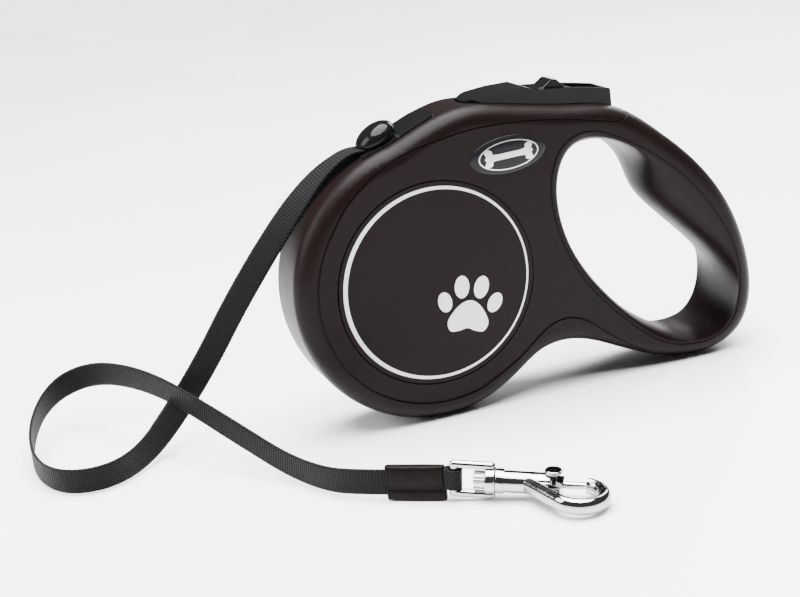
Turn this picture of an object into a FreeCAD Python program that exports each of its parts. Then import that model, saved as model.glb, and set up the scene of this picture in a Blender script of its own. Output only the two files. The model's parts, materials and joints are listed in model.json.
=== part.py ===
import FreeCAD, Part
import math
import os

# Retractable tape leash: a drum casing with a hand grip, a sprung reel, a brake button with a
# lock slider, and a flat tape that ends in a swivel snap hook.
# Frame: X along the casing (nose at -X, grip at +X), Y through its thickness (seam at y = 0,
# badge side at -Y), Z up.  The origin is on the floor, under the middle of the casing.

V = FreeCAD.Vector
doc = FreeCAD.newDocument("retractable_leash")

# ---------------------------------------------------------------- driving dimensions, mm
SIZES = {
    "drum_x": -40.1,            # reel axis
    "drum_radius": 53.1,        # outer wall of the drum; its lowest point is on the floor
    "thickness": 31.6,          # casing, front face to rear face
    "edge_radius": 7.0,         # rounding between a face and the outer wall
    "wall": 2.7,
    "cavity_radius": 50.0,
    "disc_radius": 38.0,        # round panel let into each face
    "disc_depth": 1.2,
    "groove_width": 0.6,
    "axle_radius": 4.0,
    "running_gap": 0.05,
    "reel_hub_radius": 24.0,
    "reel_hub_wall": 1.5,
    "reel_radius": 47.0,
    "reel_half_width": 12.0,
    "flange_inner": 5.6,
    "flange_thickness": 1.6,
    "ratchet_root": 44.6,
    "ratchet_teeth": 10,
    "tape_width": 9.5,
    "tape_thickness": 1.0,
    "pack_radius": 45.0,        # tape wound on the reel
    "spring_strip": 0.5,
    "spring_pitch": 1.05,
    "spring_turns": 15,
    "screw_radius": 1.5,
    "screw_head_radius": 2.7,
    "screw_head_depth": 2.0,
    "button_half_width": 8.0,
    "button_gap": 0.35,
    "pivot_x": 26.0,            # from the reel axis
    "pivot_z": 108.6,
    "pin_radius": 1.5,
    "slider_half_width": 4.6,
    "sleeve_length": 20.4,
    "sleeve_height": 12.4,
    "sleeve_thickness": 4.4,
    "bail_arm_spacing": 10.2,
    "bail_bar_radius": 1.5,
    "bail_arm_radius": 1.4,
    "loop_height": 6.8,
    "hook_ring_radius": 8.2,
    "hook_wire_radius": 2.1,
    "hook_wire_height": 5.6,
    "barrel_radius": 3.7,
    "bolt_radius": 1.2,
    "bolt_travel": 6.5,
}
sheet = doc.addObject("Spreadsheet::Sheet", "sizes")
for row, (alias, value) in enumerate(SIZES.items(), start=1):
    sheet.set("A%d" % row, alias)
    sheet.set("B%d" % row, str(value))
    sheet.setAlias("B%d" % row, alias)
doc.recompute()


def size(alias):
    return float(sheet.get(alias))


HALF = size("thickness") / 2
DRUM_Z = size("drum_radius")
DRUM_X = size("drum_x")


def at(x, z):
    """A point of the casing's side view, given from the reel axis and the floor."""
    return (x + DRUM_X, z)


# ---------------------------------------------------------------- helpers
nodes = []


def node(obj, label):
    """Register a finished sub-part under the name its file gets."""
    obj.Label = label
    nodes.append(obj)
    return obj


def feature(shape, name, placement=None):
    """A plain document object that holds a shape built with Part's functions."""
    obj = doc.addObject("Part::Feature", name)
    obj.Shape = shape
    if placement is not None:
        obj.Placement = placement.multiply(shape.Placement)
    return obj


def cylinder_y(name, radius, length, x, y_low, z):
    """A parametric cylinder along +Y from y_low; radius, length, x and z may be expressions."""
    obj = doc.addObject("Part::Cylinder", name)
    obj.setExpression("Radius", radius)
    obj.setExpression("Height", length)
    obj.Placement = FreeCAD.Placement(V(0, 0, 0), FreeCAD.Rotation(V(1, 0, 0), -90))
    obj.setExpression("Placement.Base.x", x)
    obj.setExpression("Placement.Base.y", y_low)
    obj.setExpression("Placement.Base.z", z)
    return obj


def cut(name, base, tool):
    obj = doc.addObject("Part::Cut", name)
    obj.Base = base
    obj.Tool = tool
    return obj


def fuse(name, shapes):
    obj = doc.addObject("Part::MultiFuse", name)
    obj.Shapes = shapes
    return obj


def tube_y(name, outer, inner, length, x, y_low, z):
    """A parametric tube along +Y."""
    body = cylinder_y(name + "_outer", outer, length, x, y_low, z)
    bore = cylinder_y(name + "_bore", inner, length, x, y_low, z)
    return cut(name, body, bore)


def closed_curve(points, y):
    """The smooth closed curve through side-view points, in the plane at y."""
    curve = Part.BSplineCurve()
    curve.interpolate([V(x, y, z) for x, z in points], PeriodicFlag=True)
    return curve


def offset_points(points, distance, count=60):
    """Points of the closed curve moved out (positive) or in (negative) along its normal."""
    curve = closed_curve(points, 0)
    first, last = curve.FirstParameter, curve.LastParameter
    doubled_area = sum(a[0] * b[1] - b[0] * a[1] for a, b in zip(points, points[1:] + points[:1]))
    side = 1 if doubled_area > 0 else -1
    found = []
    for i in range(count):
        at_t = first + (last - first) * i / count
        here = curve.value(at_t)
        along = curve.tangent(at_t)[0]
        out = V(along.z, 0, -along.x) * side
        moved = here + out * distance
        found.append((moved.x, moved.z))
    return found


def prism(points, y_low, y_high, smooth=True):
    """A solid with the closed side-view outline, from y_low to y_high."""
    if smooth:
        wire = Part.Wire([closed_curve(points, y_low).toShape()])
    else:
        corners = [V(x, y_low, z) for x, z in points]
        wire = Part.makePolygon(corners + corners[:1])
    return Part.Face(wire).extrude(V(0, y_high - y_low, 0))


def cylinder(radius, length, x, y_low, z):
    return Part.makeCylinder(radius, length, V(x, y_low, z), V(0, 1, 0))


# ---------------------------------------------------------------- casing outline
def casing_outline():
    """Drum circle, then the underside, the grip and the top, as one smooth closed curve."""
    drum = []
    for degrees in range(106, 301, 18):
        turn = math.radians(degrees)
        radius = size("drum_radius")
        drum.append(at(radius * math.cos(turn), DRUM_Z + radius * math.sin(turn)))
    underside = [at(33.0, 11.9), at(40.0, 16.3), at(48.5, 18.3), at(58.0, 17.2), at(74.0, 10.4),
                 at(90.0, 3.8), at(105.0, 0.9)]
    grip = [at(117.5, 2.1), at(128.0, 8.8), at(133.0, 22.0), at(132.2, 38.0), at(125.4, 58.9),
            at(111.0, 79.5), at(95.3, 94.1), at(84.5, 102.2)]
    top = [at(76.0, 106.0), at(62.0, 108.4), at(46.0, 111.0), at(32.0, 113.6), at(19.0, 115.0),
           at(8.0, 112.9), at(-4.0, 108.2)]
    return drum + underside + grip + top


# The hand hole: its edge half way through the casing, and its wider edge on the two faces.
HOLE_MIDDLE = [at(68.0, 93.2), at(79.5, 90.2), at(86.6, 82.5), at(90.0, 70.5), at(98.5, 59.0),
               at(110.0, 47.4), at(119.6, 36.6), at(124.4, 27.0), at(123.6, 15.5),
               at(117.0, 8.6), at(106.5, 7.7), at(93.5, 13.8), at(79.0, 24.8), at(65.5, 41.0),
               at(57.0, 56.5), at(53.8, 71.5), at(55.5, 84.5), at(60.5, 91.5)]
HOLE_FACE = [at(66.5, 97.6), at(79.0, 92.4), at(91.0, 84.6), at(102.0, 75.3), at(111.0, 64.8),
             at(118.3, 53.3), at(123.2, 42.5), at(125.1, 31.0), at(123.0, 17.5),
             at(117.0, 9.9), at(106.5, 7.6), at(92.0, 10.9), at(77.5, 22.3), at(63.0, 38.5),
             at(53.7, 55.0), at(49.4, 71.5), at(50.2, 85.5), at(56.0, 95.0)]


def hole_solid(side):
    """The hand hole's space in one half of the casing; side is -1 in front, +1 behind."""
    wires = []
    for share in (0.0, 0.35, 0.6, 0.8, 0.93, 1.0):
        flare = 1 - math.sqrt(1 - share * share)
        ring = [(mx + (fx - mx) * flare, mz + (fz - mz) * flare)
                for (mx, mz), (fx, fz) in zip(HOLE_MIDDLE, HOLE_FACE)]
        wires.append(Part.Wire([closed_curve(ring, side * share * HALF).toShape()]))
    return Part.makeLoft(wires, True, False)


# ---------------------------------------------------------------- casing halves
SCREWS = [at(6.0, 105.6), at(88.2, 93.6), at(107.3, 77.0), at(50.0, 29.5)]
BUTTON_SLOT = [at(20.4, 122.0), at(20.4, 106.4), at(30.0, 105.2), at(80.3, 97.4), at(80.3, 122.0)]
PAWL_SLOT = [at(28.5, 108.0), at(26.0, 84.0), at(37.0, 84.0), at(49.0, 106.0)]
NOSE_POCKET = [at(-19.5, 99.2), at(-16.5, 95.0), at(10.0, 104.2), at(8.6, 118.0), at(-26.0, 118.0)]


def rounded_block(points, half_width, end_x, radius):
    """A straight-sided prism whose upright edges near end_x, in plan its end, are rounded."""
    block = prism(points, -half_width, half_width, smooth=False)
    upright = [e for e in block.Edges if abs(e.BoundBox.Center.x - end_x) < 1.5
               and e.BoundBox.YLength < 1e-6 and e.BoundBox.ZLength > 3.0]
    return block.makeFillet(radius, upright)


def button_space():
    half_width = size("button_half_width") + size("button_gap")
    return rounded_block(BUTTON_SLOT, half_width, BUTTON_SLOT[0][0], 7.6)


def nose_block():
    return rounded_block(NOSE_POCKET, 8.6, NOSE_POCKET[2][0], 5.0)


def half_blank(outline, side):
    """One half with its outer edge rounded."""
    low, high = sorted((0, side * HALF))
    blank = prism(outline, low, high)
    rim = [e for e in blank.Edges if abs(e.BoundBox.YMin - side * HALF) < 1e-4
           and abs(e.BoundBox.YMax - side * HALF) < 1e-4]
    return blank.makeFillet(size("edge_radius"), rim)


def grip_hollow(outline, side):
    """The hollow moulded into the grip and the web, inside the outer wall and the hand hole."""
    low, high = sorted((0, side * 6.0))
    hollow = prism(offset_points(outline, -3.4), low, high)
    hollow = hollow.cut(prism(offset_points(HOLE_MIDDLE, 4.4), low - 1, high + 1))
    drum = cylinder(size("cavity_radius") + 2.2, high - low + 2, DRUM_X, low - 1, DRUM_Z)
    hollow = hollow.cut(drum)
    keep = prism([at(52.0, 96.0), at(52.0, -5.0), at(140.0, -5.0), at(140.0, 90.0),
                  at(98.0, 90.0)], low - 1, high + 1, smooth=False)
    return hollow.common(keep)


def casing_half(side):
    outline = casing_outline()
    half = half_blank(outline, side).cut(hole_solid(side))
    inner = HALF - size("wall")

    def space(depth, maker):
        low, high = sorted((0, side * depth))
        return maker(low, high)

    spaces = [
        space(inner, lambda a, b: cylinder(size("cavity_radius"), b - a, DRUM_X, a, DRUM_Z)),
        space(7.6, lambda a, b: prism(PAWL_SLOT, a, b, smooth=False)),
        button_space(),
        nose_block(),
    ]
    for solid in spaces:
        half = half.cut(solid)
    half = half.cut(grip_hollow(outline, side))
    for x, z in SCREWS:
        low, high = sorted((0, side * 9.0))
        boss = cylinder(size("screw_radius") + 2.0, high - low, x, low, z)
        half = half.fuse(boss.common(prism(outline, -HALF, HALF)))
    boss_top = size("reel_half_width") + 0.3
    low, high = sorted((side * boss_top, side * (inner + 0.5)))
    half = half.fuse(cylinder(9.0, high - low, DRUM_X, low, DRUM_Z))
    low, high = sorted((0, side * (HALF - 1.6)))
    half = half.cut(cylinder(size("axle_radius"), high - low, DRUM_X, low, DRUM_Z))
    low, high = sorted((side * (HALF - size("disc_depth")), side * (HALF + 1)))
    half = half.cut(cylinder(size("disc_radius") + 0.15, high - low, DRUM_X, low, DRUM_Z))
    for x, z in SCREWS:
        if side > 0:
            half = half.cut(cylinder(size("screw_radius"), HALF, x, 0, z))
            head = HALF - size("screw_head_depth")
            half = half.cut(cylinder(size("screw_head_radius"), 4, x, head, z))
        else:
            half = half.cut(cylinder(size("screw_radius"), 10, x, -10, z))
    pin_x, pin_z = at(size("pivot_x"), size("pivot_z"))
    half = half.cut(cylinder(size("pin_radius"), 24, pin_x, -12, pin_z))
    return half



front_shell = node(feature(casing_half(-1), "front_shell_shape"), "front_shell")
rear_shell = node(feature(casing_half(1), "rear_shell_shape"), "rear_shell")


# ---------------------------------------------------------------- panels and badges on the faces
def face_panel(label, side):
    """The round panel let into a face."""
    low = "-sizes.thickness / 2" if side < 0 else "sizes.thickness / 2 - sizes.disc_depth"
    panel = cylinder_y(label + "_shape", "sizes.disc_radius", "sizes.disc_depth",
                       "sizes.drum_x", low, "sizes.drum_radius")
    return node(panel, label)


BADGE_AT = at(32.2, 95.8)
BADGE_TILT = 2.0
BADGE_HALF_LENGTH = 15.0
BADGE_HALF_HEIGHT = 7.0
BADGE_RISE = 1.3


def badge(label, side):
    """A low oval dome, its flat back against the face."""
    dome = Part.makeSphere(1.0)
    stretch = FreeCAD.Matrix()
    stretch.scale(BADGE_HALF_LENGTH, BADGE_RISE, BADGE_HALF_HEIGHT)
    dome = dome.transformGeometry(stretch)
    outer_half = Part.makeBox(40, 5, 40, V(-20, min(0, side * 5), -20))
    dome = dome.common(outer_half)
    turn = FreeCAD.Rotation(V(0, 1, 0), -BADGE_TILT)
    place = FreeCAD.Placement(V(BADGE_AT[0], side * HALF, BADGE_AT[1]), turn)
    return node(feature(dome, label + "_shape", place), label)


face_panel("front_panel", -1)
face_panel("rear_panel", 1)
badge("front_badge", -1)
badge("rear_badge", 1)


# ---------------------------------------------------------------- tape nose
NOSE_EXIT = at(-16.5, 103.74)
TAPE_LEAVES_PACK = at(11.3, 97.6)
HUMP_AT = at(-12.4, 107.4)


def nose_guide():
    """A plug flush with the rim, with a hump that hoods the slot the tape comes out of."""
    plate = nose_block()
    plate = plate.common(prism(offset_points(casing_outline(), 0.5), -9, 9))
    hump = Part.makeSphere(1.0)
    stretch = FreeCAD.Matrix()
    stretch.scale(8.2, 7.2, 4.6)
    hump = hump.transformGeometry(stretch)
    hump.rotate(V(0, 0, 0), V(0, 1, 0), -30)
    hump.translate(V(HUMP_AT[0], 0, HUMP_AT[1]))
    body = plate.fuse(hump)
    body = body.cut(cylinder(size("cavity_radius"), 20, DRUM_X, -10, DRUM_Z))
    boss_x, boss_z = SCREWS[0]
    body = body.cut(cylinder(size("screw_radius") + 2.02, 20, boss_x, -10, boss_z))
    run = V(NOSE_EXIT[0] - TAPE_LEAVES_PACK[0], 0, NOSE_EXIT[1] - TAPE_LEAVES_PACK[1])
    slot = Part.makeBox(run.Length + 16, size("tape_width") + 1.2, 2.2,
                        V(0, -size("tape_width") / 2 - 0.6, -1.1))
    lean = math.degrees(math.atan2(run.z, -run.x))
    slot.rotate(V(0, 0, 0), V(0, 1, 0), 180 + lean)
    slot.translate(V(TAPE_LEAVES_PACK[0], 0, TAPE_LEAVES_PACK[1]))
    return body.cut(slot)


node(feature(nose_guide(), "nose_guide_shape"), "nose_guide")


def inner_tape():
    """The straight tape run from the wound pack to the nose slot."""
    run = V(NOSE_EXIT[0] - TAPE_LEAVES_PACK[0], 0, NOSE_EXIT[1] - TAPE_LEAVES_PACK[1])
    strip = Part.makeBox(run.Length, size("tape_width"), size("tape_thickness"),
                         V(0, -size("tape_width") / 2, -size("tape_thickness") / 2))
    lean = math.degrees(math.atan2(run.z, -run.x))
    strip.rotate(V(0, 0, 0), V(0, 1, 0), 180 + lean)
    strip.translate(V(TAPE_LEAVES_PACK[0], 0, TAPE_LEAVES_PACK[1]))
    return strip


node(feature(inner_tape(), "inner_tape_run_shape"), "inner_tape_run")


# ---------------------------------------------------------------- axle, screws and pivot pin
node(cylinder_y("axle_shape", "sizes.axle_radius", "sizes.thickness - 3.2", "sizes.drum_x",
                "-(sizes.thickness - 3.2) / 2", "sizes.drum_radius"), "axle")

screw_shapes = []
for number, (x, z) in enumerate(SCREWS):
    shank = cylinder_y("screw_shank_%d" % number, "sizes.screw_radius", "sizes.thickness / 2 + 7",
                       "%f" % x, "-8", "%f" % z)
    head = cylinder_y("screw_head_%d" % number, "sizes.screw_head_radius - 0.1", "1.4",
                      "%f" % x, "sizes.thickness / 2 - sizes.screw_head_depth", "%f" % z)
    drive = cylinder_y("screw_drive_%d" % number, "1.1", "1.2",
                       "%f" % x, "sizes.thickness / 2 - 1.4", "%f" % z)
    whole = fuse("screw_%d" % number, [shank, head])
    screw_shapes.append(cut("driven_screw_%d" % number, whole, drive))
screws = doc.addObject("Part::Compound", "case_screws_shape")
screws.Links = screw_shapes
node(screws, "case_screws")

node(cylinder_y("pivot_pin_shape", "sizes.pin_radius", "24", "sizes.drum_x + sizes.pivot_x",
                "-12", "sizes.pivot_z"), "button_pivot_pin")


# ---------------------------------------------------------------- reel
def ratchet_flange(name, y_low):
    """A reel flange whose rim is cut into ratchet teeth."""
    teeth = int(size("ratchet_teeth"))
    pitch = 2 * math.pi / teeth
    start = math.radians(REEL_PHASE)
    corners = []
    for i in range(teeth):
        for share, radius in ((0.0, "ratchet_root"), (0.62, "ratchet_root"),
                              (0.66, "reel_radius"), (0.96, "reel_radius")):
            turn = start + (i + share) * pitch
            corners.append((DRUM_X + size(radius) * math.cos(turn),
                            DRUM_Z + size(radius) * math.sin(turn)))
    return prism(corners, y_low, y_low + size("flange_thickness"), smooth=False)


REEL_PHASE = 37.6


def reel():
    half_width = size("reel_half_width")
    hub = cylinder(size("reel_hub_radius"), 2 * half_width - 1.5, DRUM_X, 1.5 - half_width, DRUM_Z)
    chamber = cylinder(size("reel_hub_radius") - size("reel_hub_wall"), 2 * half_width - 3.0,
                       DRUM_X, 1.5 - half_width, DRUM_Z)
    inner = size("flange_inner")
    body = hub.fuse(ratchet_flange("front", -inner - size("flange_thickness")))
    body = body.fuse(ratchet_flange("rear", inner))
    body = body.cut(chamber)
    bore = size("axle_radius") + size("running_gap")
    body = body.cut(cylinder(bore, 40, DRUM_X, -20, DRUM_Z))
    for x, z in COVER_SCREWS:
        body = body.cut(cylinder(0.55, 4, x, 1.5 - half_width, z))
    return body


COVER_SCREWS = [(DRUM_X + 23.25 * math.cos(math.radians(degrees)),
                 DRUM_Z + 23.25 * math.sin(math.radians(degrees))) for degrees in (30, 150, 270)]
node(feature(reel(), "reel_shape"), "reel")

cover_plate = tube_y("cover_plate", "sizes.reel_hub_radius", "sizes.axle_radius + sizes.running_gap",
                     "1.5", "sizes.drum_x", "-sizes.reel_half_width", "sizes.drum_radius")
cover_holes = []
for number, (x, z) in enumerate(COVER_SCREWS):
    cover_holes.append(cylinder_y("cover_hole_%d" % number, "0.55", "1.5", "%f" % x,
                                  "-sizes.reel_half_width", "%f" % z))
node(cut("reel_cover_shape", cover_plate, fuse("cover_holes", cover_holes)), "reel_cover")

node(tube_y("wound_tape_shape", "sizes.pack_radius", "sizes.reel_hub_radius", "sizes.tape_width",
            "sizes.drum_x", "-sizes.tape_width / 2", "sizes.drum_radius"), "wound_tape")


def mainspring():
    """A flat spiral strip; each turn is two half circles about two centres half a pitch apart."""
    pitch = size("spring_pitch")
    half_strip = size("spring_strip") / 2
    length = 2 * size("reel_half_width") - 4.6
    radius = size("axle_radius") + 1.0
    centre = DRUM_X - pitch / 4
    side = 1
    inside, outside = [], []
    for _ in range(2 * int(size("spring_turns"))):
        for edges, r in ((inside, radius - half_strip), (outside, radius + half_strip)):
            start = V(centre + side * r, -length / 2, DRUM_Z)
            middle = V(centre, -length / 2, DRUM_Z + side * r)
            end = V(centre - side * r, -length / 2, DRUM_Z)
            edges.append(Part.Arc(start, middle, end).toShape())
        radius += pitch / 2
        centre += side * pitch / 2
        side = -side
    caps = [Part.makeLine(inside[0].firstVertex(True).Point, outside[0].firstVertex(True).Point),
            Part.makeLine(inside[-1].lastVertex(True).Point, outside[-1].lastVertex(True).Point)]
    wire = Part.Wire(Part.__sortEdges__(inside + outside + caps))
    return Part.Face(wire).extrude(V(0, length, 0))


node(feature(mainspring(), "mainspring_shape"), "mainspring")

cover_screw_shapes = []
for number, (x, z) in enumerate(COVER_SCREWS):
    cover_screw_shapes.append(cylinder_y("cover_screw_%d" % number, "0.55", "5.5", "%f" % x,
                                         "-sizes.reel_half_width", "%f" % z))
cover_screws = doc.addObject("Part::Compound", "cover_screws_shape")
cover_screws.Links = cover_screw_shapes
node(cover_screws, "cover_screws")


# ---------------------------------------------------------------- brake button, pawl and lock
PIVOT = at(size("pivot_x"), size("pivot_z"))
BUTTON_SIDE = [at(21.3, 110.7), at(21.3, 115.5), at(26.0, 116.6), at(35.0, 117.5), at(44.6, 117.6),
               at(49.0, 115.7), at(60.0, 114.6), at(70.0, 113.1), at(79.2, 111.4),
               at(79.4, 103.9), at(45.0, 107.4)]
CHANNEL_FLOOR = [at(49.2, 114.6), at(77.2, 111.0)]
CHANNEL_HALF = 5.2
LUG_HALF = 6.2
SPRING_AT = at(71.0, 0.0)[0]
SPRING_LOW, SPRING_HIGH = 99.0, 107.2


def brake_button():
    half_width = size("button_half_width")
    body = rounded_block(BUTTON_SIDE, half_width, BUTTON_SIDE[0][0], 7.2)
    low, high = CHANNEL_FLOOR
    channel = prism([low, high, (high[0], 122.0), (low[0], 122.0)], -CHANNEL_HALF, CHANNEL_HALF,
                    smooth=False)
    body = body.cut(channel)
    lug = cylinder(2.6, 2 * LUG_HALF, PIVOT[0], -LUG_HALF, PIVOT[1])
    body = body.fuse(lug)
    body = body.cut(cylinder(size("pin_radius") + size("running_gap"), 40, PIVOT[0], -20, PIVOT[1]))
    seat = Part.makeCylinder(3.2, SPRING_HIGH - 100.0, V(SPRING_AT, 0, 100.0))
    return body.cut(seat)


PAWL_SIDE = [at(31.0, 109.6), at(39.0, 108.6), at(37.2, 97.0), at(35.6, 89.6), at(33.2, 87.6),
             at(31.2, 89.2), at(32.0, 97.0)]


def brake_pawl():
    """The bar under the button that drops between the ratchet teeth."""
    arm = prism(PAWL_SIDE, -7.2, 7.2, smooth=False)
    return arm.cut(brake_button())


def coil(radius, wire, low, high, turns, x, y):
    """A compression spring along +Z; its wire has eight sides."""
    pitch = (high - low - wire) / turns
    helix = Part.makeHelix(pitch, high - low - wire, radius)
    corners = []
    for k in range(8):
        turn = (k + 0.5) * math.pi / 4
        corners.append(V(radius + wire / 2 * math.cos(turn), 0, wire / 2 * math.sin(turn)))
    profile = Part.makePolygon(corners + corners[:1])
    spring = Part.Wire(helix.Edges).makePipeShell([profile], True, True)
    spring.translate(V(x, y, low + wire / 2))
    return spring


def lock_slider():
    """A low plate in the button's channel with a cross ridge for the thumb."""
    low, high = CHANNEL_FLOOR
    slope = (high[1] - low[1]) / (high[0] - low[0])

    def above(x, lift):
        return (x + DRUM_X, low[1] + slope * (x + DRUM_X - low[0]) + lift)

    side = [above(50.5, 0.3), above(50.5, 0.9), above(53.5, 1.5), above(57.0, 4.3),
            above(59.2, 4.3), above(62.5, 1.5), above(66.5, 0.9), above(66.5, 0.3)]
    half_width = size("slider_half_width")
    return prism(side, -half_width, half_width, smooth=False)


node(feature(brake_button(), "brake_button_shape"), "brake_button")
node(feature(brake_pawl(), "brake_pawl_shape"), "brake_pawl")
node(feature(coil(2.3, 0.5, SPRING_LOW, SPRING_HIGH, 6, SPRING_AT, 0), "button_spring_shape"),
     "button_spring")
node(feature(lock_slider(), "lock_slider_shape"), "lock_slider")


# ---------------------------------------------------------------- tape end: sleeve and loop
SLEEVE_START = V(-85.4, -70.1, 6.3)
SLEEVE_HEADING = -34.2
BAR_AT = V(-66.3, -83.4, 7.9)
HOOK_HEADING = -31.0
HOOK_DROOP = 5.3


def rounded_box(length, depth, height, radius):
    """A box from the origin along +X, centred in Y and Z, its long edges rounded."""
    box = Part.makeBox(length, depth, height, V(0, -depth / 2, -height / 2))
    edges = [e for e in box.Edges if e.BoundBox.XLength > length - 1e-6]
    return box.makeFillet(radius, edges)


sleeve_place = FreeCAD.Placement(SLEEVE_START, FreeCAD.Rotation(V(0, 0, 1), SLEEVE_HEADING))
sleeve = rounded_box(size("sleeve_length"), size("sleeve_thickness"), size("sleeve_height"), 1.2)
node(feature(sleeve, "leather_sleeve_shape", sleeve_place), "leather_sleeve")

HOOK_TURN = FreeCAD.Rotation(V(0, 0, 1), HOOK_HEADING) * FreeCAD.Rotation(V(0, 1, 0), HOOK_DROOP)
HOOK_PLACE = FreeCAD.Placement(BAR_AT, HOOK_TURN)


def tape_loop():
    """The tape's doubled end, wrapped round the bail's bar and running back into the sleeve."""
    height = size("loop_height")
    inner = size("bail_bar_radius") + 0.35
    outer = inner + size("tape_thickness")
    eye = Part.makeCylinder(outer, height, V(0, 0, -height / 2))
    tail = Part.makePolygon([V(0, outer, -height / 2), V(-6.0, 1.2, -height / 2),
                             V(-6.0, -1.2, -height / 2), V(0, -outer, -height / 2),
                             V(0, outer, -height / 2)])
    body = eye.fuse(Part.Face(tail).extrude(V(0, 0, height)))
    body = body.cut(Part.makeCylinder(inner, height + 2, V(0, 0, -height / 2 - 1)))
    body.Placement = HOOK_PLACE
    behind = Part.makeBox(30, 30, 30, V(-30 + size("sleeve_length"), -15, -15))
    behind.Placement = sleeve_place
    return body.cut(behind)


node(feature(tape_loop(), "tape_loop_shape"), "tape_loop")


# ---------------------------------------------------------------- bail, hook, snap bolt
def bail():
    """A rectangular chrome frame: bar, two arms and a bored round boss between their ends."""
    bar = size("bail_bar_radius")
    arm = size("bail_arm_radius")
    half = size("bail_arm_spacing") / 2
    reach = 12.6
    frame = Part.makeCylinder(bar, 2 * half, V(0, 0, -half))
    for end in (-half, half):
        frame = frame.fuse(Part.makeSphere(bar, V(0, 0, end)))
        frame = frame.fuse(Part.makeCylinder(arm, reach, V(0, 0, end), V(1, 0, 0)))
        frame = frame.fuse(Part.makeSphere(arm, V(reach, 0, end)))
    boss = Part.makeCylinder(4.5, 3.6, V(10.5, 0, 0), V(1, 0, 0))
    boss = boss.makeFillet(0.6, [e for e in boss.Edges if e.BoundBox.XLength < 0.1])
    frame = frame.fuse(boss)
    return frame.cut(Part.makeCylinder(2.0 + size("running_gap"), 8, V(9, 0, 0), V(1, 0, 0)))


RING_CENTRE = V(42.0, -7.6, 0)
BOLT_END = 43.4
KNOB_AT = 33.0


def on_ring(degrees):
    turn = math.radians(degrees)
    return RING_CENTRE + V(math.cos(turn), math.sin(turn), 0) * size("hook_ring_radius")


def hook_arm():
    """The arm and the open ring: an oval section swept along a line and an arc."""
    join = on_ring(225)
    back = join + V(-1, 1, 0).normalize() * 16.0
    path = Part.Wire([Part.makeLine(back, join), Part.Arc(join, on_ring(330), on_ring(75)).toShape()])
    across = V(1, 1, 0).normalize() * size("hook_wire_radius")
    tall = V(0, 0, size("hook_wire_height") / 2)
    oval = Part.Ellipse(back + tall, back + across, back)
    arm = path.makePipeShell([Part.Wire([oval.toShape()])], True, True)
    return arm.fuse(Part.makeSphere(size("hook_wire_radius"), back))


def hook_body():
    """Swivel pin and fluted head, collar, barrel, arm, open ring and the web between them."""
    along = V(1, 0, 0)
    body = Part.makeCylinder(2.0, 8.0, V(8.5, 0, 0), along)
    head = Part.makeCylinder(3.1, 3.6, V(6.8, 0, 0), along)
    for degrees in range(0, 360, 30):
        turn = math.radians(degrees)
        flute = V(6.0, 3.3 * math.cos(turn), 3.3 * math.sin(turn))
        head = head.cut(Part.makeCylinder(0.55, 6, flute, along))
    body = body.fuse(head)
    body = body.fuse(Part.makeCylinder(4.2, 2.6, V(14.2, 0, 0), along))
    body = body.fuse(Part.makeCylinder(size("barrel_radius"), 15.2, V(16.8, 0, 0), along))
    body = body.fuse(hook_arm())
    corners = [V(24, 3.0, -1.8), V(36.4, 3.0, -1.8), V(36.4, -4.5, -1.8), V(35.7, -8.0, -1.8),
               V(36.2, -13.0, -1.8), V(25.0, -2.0, -1.8)]
    web = Part.Face(Part.makePolygon(corners + corners[:1])).extrude(V(0, 0, 3.6))
    body = body.fuse(web)
    body = body.cut(Part.makeCylinder(size("bolt_radius") + 0.1, 25, V(17.4, 0, 0), along))
    slot_low = KNOB_AT - size("bolt_travel") - 1.1
    return body.cut(Part.makeBox(KNOB_AT + 1.1 - slot_low, 2.2, 6, V(slot_low, -1.1, 0)))


def snap_bolt():
    """The sliding gate bolt with its thumb knob."""
    rod = Part.makeCylinder(size("bolt_radius"), BOLT_END - 28.0, V(28.0, 0, 0), V(1, 0, 0))
    stem = Part.makeCylinder(0.9, 4.2, V(KNOB_AT, 0, 0.2))
    knob = Part.makeCylinder(3.0, 1.3, V(KNOB_AT, 0, 4.0))
    knob = knob.makeFillet(0.5, knob.Edges[:1] + knob.Edges[2:3])
    return rod.fuse(stem).fuse(knob)


def bolt_spring():
    spring = coil(0.85, 0.35, 0, 10.2, 10, 0, 0)
    spring.rotate(V(0, 0, 0), V(0, 1, 0), 90)
    spring.translate(V(17.6, 0, 0))
    return spring


node(feature(bail(), "bail_shape", HOOK_PLACE), "swivel_bail")
node(feature(hook_body(), "hook_body_shape", HOOK_PLACE), "hook_body")
node(feature(snap_bolt(), "snap_bolt_shape", HOOK_PLACE), "snap_bolt")
node(feature(bolt_spring(), "bolt_spring_shape", HOOK_PLACE), "bolt_spring")


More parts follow.
